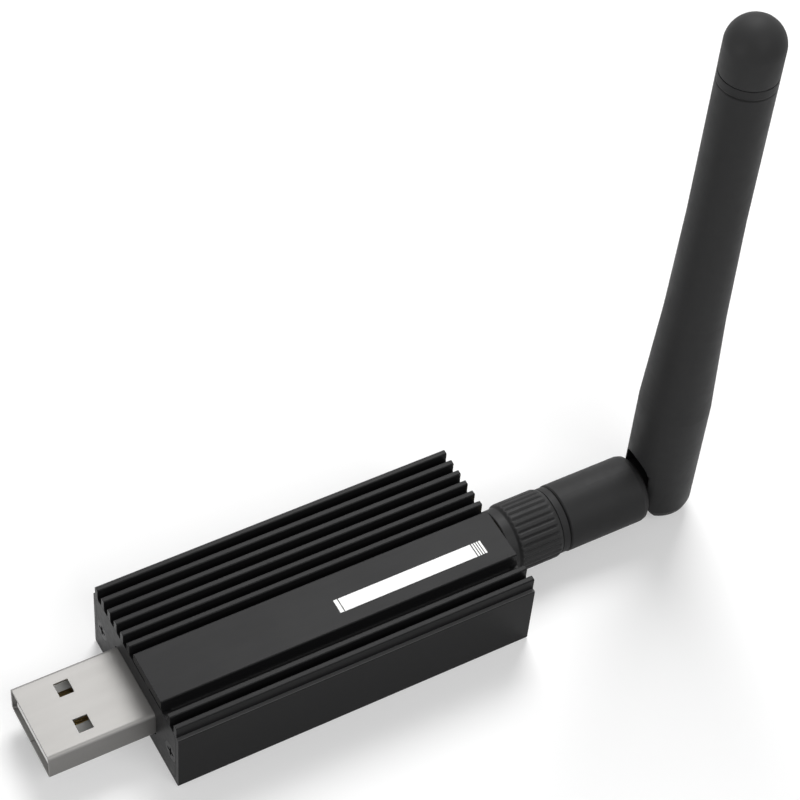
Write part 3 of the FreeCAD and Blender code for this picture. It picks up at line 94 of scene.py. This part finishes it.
def new_node(tree, kind, **values):
    node = tree.nodes.new(kind)
    for name, value in values.items():
        setattr(node, name, value)
    return node


def set_inputs(node, values):
    for name, value in values.items():
        node.inputs[name].default_value = value


def feed(tree, node, place, value):
    """Gives an input a constant or another node's output."""
    if isinstance(value, bpy.types.NodeSocket):
        tree.links.new(value, node.inputs[place])
    else:
        node.inputs[place].default_value = value


def maths(tree, operation, *values):
    node = new_node(tree, "ShaderNodeMath", operation=operation)
    for place, value in enumerate(values):
        feed(tree, node, place, value)
    return node.outputs[0]


def scaled(tree, vector, factors):
    node = new_node(tree, "ShaderNodeVectorMath", operation="MULTIPLY")
    feed(tree, node, 0, vector)
    feed(tree, node, 1, factors)
    return node.outputs["Vector"]


def coordinate(tree, place, axis):
    node = new_node(tree, "ShaderNodeSeparateXYZ")
    tree.links.new(place, node.inputs[0])
    return node.outputs[axis]


def noise(tree, vector, scale, detail=3.0):
    node = new_node(tree, "ShaderNodeTexNoise")
    set_inputs(node, {"Scale": scale, "Detail": detail, "Roughness": NOISE_ROUGHNESS})
    tree.links.new(vector, node.inputs["Vector"])
    return node.outputs["Fac"]


def spread(tree, value, low, high, start=NOISE_LOW, end=NOISE_HIGH):
    """Takes a value's range from start to end to the one from low to high."""
    node = new_node(tree, "ShaderNodeMapRange")
    set_inputs(node, {"From Min": start, "From Max": end, "To Min": low, "To Max": high})
    tree.links.new(value, node.inputs["Value"])
    return node.outputs["Result"]


def blended(tree, amount, first, second):
    """A colour between two others, led by a value. Each may be another node's output."""
    node = new_node(tree, "ShaderNodeMix", data_type="RGBA")
    tree.links.new(amount, node.inputs["Factor"])
    for place, colour in ((FIRST_COLOUR, first), (SECOND_COLOUR, second)):
        linked = isinstance(colour, bpy.types.NodeSocket)
        feed(tree, node, place, colour if linked else (*colour, 1))
    return node.outputs[MIXED_COLOUR]


def bump(tree, height, strength, distance, under=None):
    """The surface's direction with a relief on it, over the relief or rounded edge under it."""
    node = new_node(tree, "ShaderNodeBump")
    set_inputs(node, {"Strength": strength, "Distance": distance * MM})
    tree.links.new(height, node.inputs["Height"])
    if under is not None:
        tree.links.new(under, node.inputs["Normal"])
    return node.outputs["Normal"]


def within(tree, place, axis, centre, half, soft):
    """One inside a band across an axis, falling to nothing over its soft rim."""
    away = maths(tree, "ABSOLUTE", maths(tree, "SUBTRACT", coordinate(tree, place, axis), centre * MM))
    return spread(tree, away, 1, 0, half * MM, (half + soft) * MM)


def new_material(name):
    made = bpy.data.materials.new(name)
    made.use_nodes = True
    return made, made.node_tree, made.node_tree.nodes["Principled BSDF"]


# Finishes

DRIFT_SCALE, DRIFT_DETAIL = 90, 4.0
COARSE_RATIO = 4
GRAIN_STRENGTH = 0.35
MARK_STRENGTH = 1.0
BEVEL_SAMPLES = 6

# How much a grain is squeezed along X, the stick's length, and along Y and Z. Below one it is drawn out.
EVEN = (1, 1, 1)
DRAWN = (0.12, 1, 1)
FOLDED_SHEET = (0.08, 1, 1)
STAMPED_STRIP = (0.1, 1, 1)
TURNED = (6, 1, 1)


def material(name, colour, tint, rough, rough_span=0.06, metallic=0.0, specular=0.5, grain=3500,
             grain_depth=0.006, squeeze=EVEN, edge=0.0, mark=None, mark_depth=0.1, painted_patch=None):
    """A surface with a slow drift of colour and gloss and a fine grain in its relief. Its edges may
    be rounded, a mark may be cut into its relief and part of it may carry painted light or shade in
    another colour."""
    made, tree, bsdf = new_material(name)
    place = new_node(tree, "ShaderNodeTexCoord").outputs["Object"]
    squeezed = scaled(tree, place, squeeze)
    drift = noise(tree, place, DRIFT_SCALE, DRIFT_DETAIL)
    coarse = noise(tree, squeezed, grain / COARSE_RATIO)
    fine = noise(tree, squeezed, grain)

    shade = blended(tree, spread(tree, drift, 0, 1), colour, tint)
    # Painted light or shade: a second colour laid over part of the surface
    if painted_patch:
        where, painted_colour = painted_patch
        shade = blended(tree, where(tree, place), shade, painted_colour)
    tree.links.new(shade, bsdf.inputs["Base Color"])

    gloss = maths(tree, "ADD", spread(tree, drift, rough - rough_span, rough + rough_span),
                  spread(tree, coarse, -rough_span / 2, rough_span / 2))
    tree.links.new(gloss, bsdf.inputs["Roughness"])

    relief = None
    if edge:
        rounded = new_node(tree, "ShaderNodeBevel", samples=BEVEL_SAMPLES)
        set_inputs(rounded, {"Radius": edge * MM})
        relief = rounded.outputs["Normal"]
    if mark:
        relief = bump(tree, mark(tree, place), MARK_STRENGTH, mark_depth, relief)
    tree.links.new(bump(tree, fine, GRAIN_STRENGTH, grain_depth, relief), bsdf.inputs["Normal"])

    set_inputs(bsdf, {"Metallic": metallic, "Specular IOR Level": specular})
    return made


# The record's material slots
LOOKS = {
    "black_anodised": dict(
        colour=(0.01, 0.01, 0.0104), tint=(0.0115, 0.0115, 0.012), rough=0.32, rough_span=0.025,
        specular=0.055, grain=6000, grain_depth=0.004, squeeze=DRAWN, edge=0.07),
    "black_plate": dict(
        colour=(0.009, 0.009, 0.0095), tint=(0.011, 0.011, 0.0115), rough=0.4,
        specular=0.09, grain=5000, grain_depth=0.004, edge=0.1),
    "black_screw": dict(
        colour=(0.012, 0.012, 0.0125), tint=(0.016, 0.016, 0.0165), rough=0.4,
        specular=0.18, grain=7000, grain_depth=0.003),
    "plug_steel": dict(
        colour=(0.2, 0.196, 0.19), tint=(0.215, 0.211, 0.204), rough=0.54, rough_span=0.015,
        metallic=1.0, grain=5000, grain_depth=0.003, squeeze=FOLDED_SHEET, edge=0.1),
    "white_insulator": dict(
        colour=(0.8, 0.8, 0.78), tint=(0.84, 0.84, 0.82), rough=0.5, grain=2500, grain_depth=0.004),
    "gold_contact": dict(
        colour=(0.8, 0.58, 0.24), tint=(0.84, 0.64, 0.3), rough=0.26,
        metallic=1.0, grain=6000, grain_depth=0.002, squeeze=STAMPED_STRIP),
    "board": dict(
        colour=(0.015, 0.09, 0.04), tint=(0.02, 0.12, 0.055), rough=0.4, grain=1800, grain_depth=0.01),
    "chip": dict(
        colour=(0.014, 0.014, 0.014), tint=(0.022, 0.022, 0.022), rough=0.6, grain=4000,
        grain_depth=0.01),
    "crystal_can": dict(
        colour=(0.66, 0.64, 0.58), tint=(0.72, 0.7, 0.64), rough=0.3, metallic=1.0),
    "capacitor": dict(
        colour=(0.42, 0.31, 0.2), tint=(0.5, 0.38, 0.26), rough=0.45),
    "gold_brass": dict(
        colour=(0.78, 0.56, 0.24), tint=(0.82, 0.62, 0.3), rough=0.24,
        metallic=1.0, grain=5000, grain_depth=0.003, squeeze=TURNED),
    "nickel_brass": dict(
        colour=(0.6, 0.58, 0.53), tint=(0.66, 0.64, 0.58), rough=0.26,
        metallic=1.0, grain=5000, grain_depth=0.003, squeeze=TURNED),
    "natural_insulator": dict(
        colour=(0.8, 0.8, 0.78), tint=(0.85, 0.85, 0.83), rough=0.5),
    "spring_clip": dict(
        colour=(0.42, 0.42, 0.43), tint=(0.48, 0.48, 0.49), rough=0.3, metallic=1.0),
    "black_grip": dict(
        colour=(0.016, 0.016, 0.0164), tint=(0.02, 0.02, 0.0204), rough=0.58,
        specular=0.22, grain=3800, grain_depth=0.008, edge=0.1),
    "black_antenna": dict(
        colour=(0.018, 0.018, 0.0184), tint=(0.021, 0.021, 0.0214), rough=0.56,
        specular=0.16, grain=3200, grain_depth=0.008, edge=0.15),
    "cable_jacket": dict(
        colour=(0.14, 0.075, 0.04), tint=(0.18, 0.1, 0.055), rough=0.35),
    "copper": dict(
        colour=(0.7, 0.38, 0.24), tint=(0.76, 0.44, 0.28), rough=0.3, metallic=1.0),
}
MATERIALS = {slot: material(slot, **look) for slot, look in LOOKS.items()}


# The fine ring below the arm's seam: a groove with painted shade in it, a black line that stands in for
# the shade in the groove
RING_HEIGHT = 81.07
RING_HALF, RING_PAINTED_SHADE_HALF = 0.12, 0.08
RING_SOFT = 0.08
RING_DEPTH = 0.16
RING_PAINTED_SHADE = (0.002, 0.002, 0.002)


def ring_groove(tree, place):
    """The ring's relief, below the surface."""
    return maths(tree, "MULTIPLY", within(tree, place, "Z", RING_HEIGHT, RING_HALF, RING_SOFT), -1)


def ring_painted_shade(tree, place):
    """The ring's painted shade: a black line narrower than its groove, standing in for the shade in it.
    """
    return within(tree, place, "Z", RING_HEIGHT, RING_PAINTED_SHADE_HALF, RING_SOFT)


# A painted highlight on the tops of the narrow steps outside the housing's outer fins: a lighter grey
# that stands in for the light caught there
STEP_HEIGHT = 10.8
STEP_HALF, STEP_SOFT = 0.05, 0.02
STEP_INSIDE = 12.2
STEP_PAINTED_HIGHLIGHT = (0.09, 0.09, 0.091)


def painted_step_highlight(tree, place):
    """Where the painted highlight goes: one at the height of the steps' tops, outside the fins on both
    sides.
    """
    outward = maths(tree, "ABSOLUTE", coordinate(tree, place, "Y"))
    outside = maths(tree, "GREATER_THAN", outward, STEP_INSIDE * MM)
    return maths(tree, "MULTIPLY", within(tree, place, "Z", STEP_HEIGHT, STEP_HALF, STEP_SOFT), outside)


# The thread on the jack's barrel
THREAD_START, THREAD_END = 27.4, 33.1
THREAD_PITCH = 0.7056
THREAD_SOFT = 0.1
THREAD_DEPTH = 0.35
BARREL_ROUGH = 0.28


def thread_crests(tree, place):
    """A relief that rises and falls once a pitch between the thread's ends."""
    turns = maths(tree, "MULTIPLY", coordinate(tree, place, "X"), 1 / (THREAD_PITCH * MM))
    crests = maths(tree, "PINGPONG", turns, 0.5)
    middle, half = (THREAD_START + THREAD_END) / 2, (THREAD_END - THREAD_START) / 2
    return maths(tree, "MULTIPLY", crests, within(tree, place, "X", middle, half, THREAD_SOFT))


BARREL_LOOK = {**LOOKS["gold_brass"], "rough": BARREL_ROUGH, "squeeze": EVEN}
OWN_FINISH = {
    # The arm's ring groove carries a line of painted shade
    "antenna_arm": material("arm_black", **LOOKS["black_antenna"], mark=ring_groove,
                            mark_depth=RING_DEPTH, painted_patch=(ring_painted_shade, RING_PAINTED_SHADE)),
    # The housing's step tops carry a painted highlight in a lighter grey
    "housing_shell": material("anodised_painted_step_highlight", **LOOKS["black_anodised"],
                              painted_patch=(painted_step_highlight, STEP_PAINTED_HIGHLIGHT)),
    "jack_body": material("threaded_brass", **BARREL_LOOK, mark=thread_crests, mark_depth=THREAD_DEPTH),
    "tip_cap_dome": material("cap_black", (0.025, 0.025, 0.0254), (0.028, 0.028, 0.0284), 0.6,
                             specular=0.14, grain=3200, grain_depth=0.006, edge=0.15),
    "band_print": material("print_white", (0.84, 0.84, 0.83), (0.88, 0.88, 0.87), 0.55,
                           grain=4000, grain_depth=0.003),
}


def finish(name, slot):
    """A node's or piece's own finish, or else its slot's."""
    return OWN_FINISH.get(name, MATERIALS[slot])


for part in frame["record"]["subparts"]:
    shown = nodes[part["node"]].data.materials
    shown.clear()
    shown.append(finish(part["node"], part["material_slot"]))


# Mesh pieces

def new_object(name, data):
    thing = bpy.data.objects.new(name, data)
    bpy.context.scene.collection.objects.link(thing)
    return thing


def mesh_piece(name, build, slot, body, smooth_angle=None):
    """A piece of the object. The build function makes its shape in an empty bmesh."""
    mesh = bpy.data.meshes.new(name)
    shape = bmesh.new()
    build(shape)
    bmesh.ops.recalc_face_normals(shape, faces=shape.faces)
    shape.to_mesh(mesh)
    shape.free()
    thing = new_object(name, mesh)
    if smooth_angle:
        mesh.shade_smooth()
        mesh.set_sharp_from_angle(angle=math.radians(smooth_angle))
    mesh.materials.append(finish(name, slot))
    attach(thing, body)
    return thing


def vertex(shape, x, y, z):
    """A vertex at a place in millimetres."""
    return shape.verts.new((x * MM, y * MM, z * MM))


def join_rings(shape, low, high):
    """Faces between two rings of vertices."""
    for here in range(len(low)):
        after = (here + 1) % len(low)
        shape.faces.new((low[here], low[after], high[after], high[here]))


# Tip cap, turned about the arm's axis, with the spigot that sits in the arm
CAP_STEPS = 96
SPIGOT_RADIUS = 2.1
# How far each point of the cap's rounded lower edge lies inside its wall and above the seam
CAP_EDGE = ((0.16, 0), (0.05, 0.09), (0, 0.26))
DOME_STEPS = 26
DOME_END_ANGLE = 89
CAP_SMOOTH_ANGLE = 40


def cap_outline():
    """The cap's points as radius and height, from the spigot's end to the dome's top."""
    radius = (cap_high.x - cap_low.x) / 2
    dome_centre = cap_high.z - radius
    outline = [(SPIGOT_RADIUS, cap_low.z), (SPIGOT_RADIUS, seam)]
    outline += [(radius - inside, seam + above) for inside, above in CAP_EDGE]
    for step in range(DOME_STEPS + 1):
        angle = math.radians(DOME_END_ANGLE * step / DOME_STEPS)
        outline.append((radius * math.cos(angle), dome_centre + radius * math.sin(angle)))
    return outline


def cap_shape(shape):
    rings = []
    for out, height in cap_outline():
        ring = []
        for step in range(CAP_STEPS):
            angle = 2 * math.pi * step / CAP_STEPS
            ring.append(vertex(shape, pivot.x + out * math.cos(angle), out * math.sin(angle), height))
        rings.append(ring)
    for low, high in zip(rings, rings[1:]):
        join_rings(shape, low, high)
    shape.faces.new(rings[0])
    shape.faces.new(rings[-1])


cap = mesh_piece("tip_cap_dome", cap_shape, "black_antenna", "arm", CAP_SMOOTH_ANGLE)
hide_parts("tip_cap")


# Ribbed grip, turned about the antenna's axis, with round grooves that run out at both ends
RIBS = 31
RIB_STEPS = 10
RIB_PHASE = 93.6
GROOVE_DEPTH = 0.26
# The share of the way from rib to rib that a groove takes
GROOVE_WIDTH = 0.62
GRIP_SMOOTH_ANGLE = 32
GRIP_START, GRIP_END = 1.65, 10.0
NOSE_RADIUS, GRIP_RADIUS = 4.6, 4.98
BORE_RADIUS, HOLLOW_RADIUS = 2.74, 4.0
BORE_START = 9.72
# Each point is a distance behind the housing, a radius and the share of a groove's full depth
GRIP_NOSE = ((GRIP_START, 4.42, 0), (1.7, 4.52, 0), (1.82, NOSE_RADIUS, 0), (3.05, NOSE_RADIUS, 0))
GRIP_RISE = ((3.14, 4.62, 0), (3.3, 4.74, 0), (3.45, 4.87, 0), (3.58, 4.95, 0.25), (3.68, 4.97, 0.6))
GRIP_RIBBED = ((3.82, GRIP_RADIUS, 0.9), (4.1, GRIP_RADIUS, 1), (6.5, GRIP_RADIUS, 1),
               (9.0, GRIP_RADIUS, 1), (9.25, GRIP_RADIUS, 0.85))
GRIP_FALL = ((9.4, 4.97, 0.5), (9.52, 4.95, 0.2), (9.65, 4.91, 0.05), (9.85, 4.81, 0),
             (9.96, 4.77, 0), (GRIP_END, 4.75, 0))
GRIP_HOLLOW = ((GRIP_END, BORE_RADIUS, 0), (BORE_START, BORE_RADIUS, 0),
               (BORE_START, HOLLOW_RADIUS, 0), (GRIP_START, HOLLOW_RADIUS, 0))


def groove(step):
    """How deep the grip is at a step round it, from 0 on a rib to 1 in the middle of a groove."""
    share = abs((step / RIB_STEPS + 0.5) % 1 - 0.5) / 0.5
    return 0.5 + 0.5 * math.cos(math.pi * min(1, share / GROOVE_WIDTH))


def grip_shape(shape):
    count = RIBS * RIB_STEPS
    rings = []
    for along, out, depth_share in (*GRIP_NOSE, *GRIP_RISE, *GRIP_RIBBED, *GRIP_FALL, *GRIP_HOLLOW):
        ring = []
        for step in range(count):
            angle = 2 * math.pi * step / count + math.radians(RIB_PHASE)
            reach = out - groove(step) * GROOVE_DEPTH * depth_share
            ring.append(vertex(shape, housing_end + along, -reach * math.cos(angle),
                               pivot.z + reach * math.sin(angle)))
        rings.append(ring)
    for low, high in zip(rings, [*rings[1:], rings[0]]):
        join_rings(shape, low, high)


grip = mesh_piece("ribbed_grip", grip_shape, "black_grip", "nut", GRIP_SMOOTH_ANGLE)
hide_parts("nut_grip")


# Printed bar on the smooth band, with thin stripes at its ends, each from a start to an end along X
BAR_STRIPES = ((0.65, 1.2), (1.34, 21.22), (21.38, 21.62), (21.76, 21.97), (22.11, 22.32), (22.45, 22.76))
BAR_NEAR, BAR_FAR = -5.62, -3.46
BAR_THICKNESS = 0.012


def bar_shape(shape):
    for start, end in BAR_STRIPES:
        corners = ((start, BAR_NEAR), (end, BAR_NEAR), (end, BAR_FAR), (start, BAR_FAR))
        low = [vertex(shape, x, y, housing_top) for x, y in corners]
        high = [vertex(shape, x, y, housing_top + BAR_THICKNESS) for x, y in corners]
        shape.faces.new(low)
        shape.faces.new(high)
        join_rings(shape, low, high)


mesh_piece("band_print", bar_shape, "black_anodised", "stick")


# Floor, lights and camera, in metres

WHITE = (1, 1, 1, 1)
FLOOR_HALF = 3.0
FLOOR_COLOUR, FAR_FLOOR_COLOUR = (0.64, 0.64, 0.64), (0.02, 0.02, 0.02)
FLOOR_GLOW, FAR_FLOOR_GLOW = 0.34, 1.0
FLOOR_ROUGHNESS, FLOOR_SPECULAR = 0.9, 0.1
FADE_START, FADE_END = 0.3, 1.0
WORLD_LIGHT, WORLD_SEEN = 0.2, 1.0

# Each light's name, place, target, width, height and power in watts
LIGHTS = (
    ("key_behind", (0.3, 0.46, 0.72), (0, 0, 0.01), 0.42, 0.42, 6.9),
    ("key_front", (0.1, -0.6, 0.6), (0.02, 0, 0.02), 0.6, 0.5, 2.9),
    ("fill_left", (-0.9, 0, 0.16), (0, 0, 0.05), 0.42, 0.3, 3.0),
)

CAMERA_PLACE = (-0.10165, -0.17147, 0.28974)
# Yaw, pitch and roll in degrees
CAMERA_ANGLES = (-33.12, 50.09, 5.62)
LENS_MM, SENSOR_MM = 117, 36


def white_rays(tree):
    """One for the rays that show the surroundings themselves: camera, glossy and transmission."""
    rays = new_node(tree, "ShaderNodeLightPath")
    mirrored = maths(tree, "MAXIMUM", rays.outputs["Is Glossy Ray"], rays.outputs["Is Transmission Ray"])
    return maths(tree, "MAXIMUM", rays.outputs["Is Camera Ray"], mirrored)


def floor_paper():
    """Pale near the object, where the shadow falls, and fading to plain white far from it."""
    made, tree, bsdf = new_material("floor_paper")
    place = new_node(tree, "ShaderNodeTexCoord").outputs["Object"]
    away = new_node(tree, "ShaderNodeVectorMath", operation="LENGTH")
    tree.links.new(place, away.inputs[0])
    far = spread(tree, away.outputs["Value"], 0, 1, FADE_START, FADE_END)
    tree.links.new(blended(tree, far, FLOOR_COLOUR, FAR_FLOOR_COLOUR), bsdf.inputs["Base Color"])
    glow = spread(tree, far, FLOOR_GLOW, FAR_FLOOR_GLOW, 0, 1)
    tree.links.new(maths(tree, "MULTIPLY", white_rays(tree), glow), bsdf.inputs["Emission Strength"])
    set_inputs(bsdf, {"Roughness": FLOOR_ROUGHNESS, "Specular IOR Level": FLOOR_SPECULAR,
                      "Emission Color": WHITE})
    return made


def floor():
    mesh = bpy.data.meshes.new("floor")
    shape = bmesh.new()
    corners = ((-1, -1), (1, -1), (1, 1), (-1, 1))
    shape.faces.new([shape.verts.new((x * FLOOR_HALF, y * FLOOR_HALF, 0)) for x, y in corners])
    shape.to_mesh(mesh)
    shape.free()
    thing = new_object("floor", mesh)
    mesh.materials.append(floor_paper())


def world():
    """A dim, even light on the object, and white where the world itself is seen."""
    made = bpy.data.worlds.new("studio")
    made.use_nodes = True
    tree = made.node_tree
    background = tree.nodes["Background"]
    set_inputs(background, {"Color": WHITE})
    strength = spread(tree, white_rays(tree), WORLD_LIGHT, WORLD_SEEN, 0, 1)
    tree.links.new(strength, background.inputs["Strength"])
    bpy.context.scene.world = made


def softbox(name, place, target, width, height, power):
    light = bpy.data.lights.new(name, "AREA")
    light.shape = "RECTANGLE"
    light.size, light.size_y = width, height
    light.energy = power
    thing = new_object(name, light)
    thing.location = place
    thing.rotation_euler = (Vector(target) - Vector(place)).to_track_quat("-Z", "Y").to_euler()


def camera():
    """The photograph's viewpoint, solved from the edges of the housing and the plug."""
    yaw, pitch, roll = (math.radians(angle) for angle in CAMERA_ANGLES)
    back = Vector((math.sin(yaw) * math.cos(pitch), -math.cos(yaw) * math.cos(pitch), math.sin(pitch)))
    right = Vector((math.cos(yaw), math.sin(yaw), 0))
    up = back.cross(right)
    turned_right = math.cos(roll) * right + math.sin(roll) * up
    turned_up = math.cos(roll) * up - math.sin(roll) * right
    lens = bpy.data.cameras.new("photo_camera")
    lens.lens, lens.sensor_width = LENS_MM, SENSOR_MM
    thing = new_object("photo_camera", lens)
    matrix = Matrix((turned_right, turned_up, back)).transposed().to_4x4()
    matrix.translation = CAMERA_PLACE
    thing.matrix_world = matrix
    bpy.context.scene.camera = thing


floor()
world()
for light in LIGHTS:
    softbox(*light)
camera()
bpy.context.scene.view_settings.view_transform = "Standard"
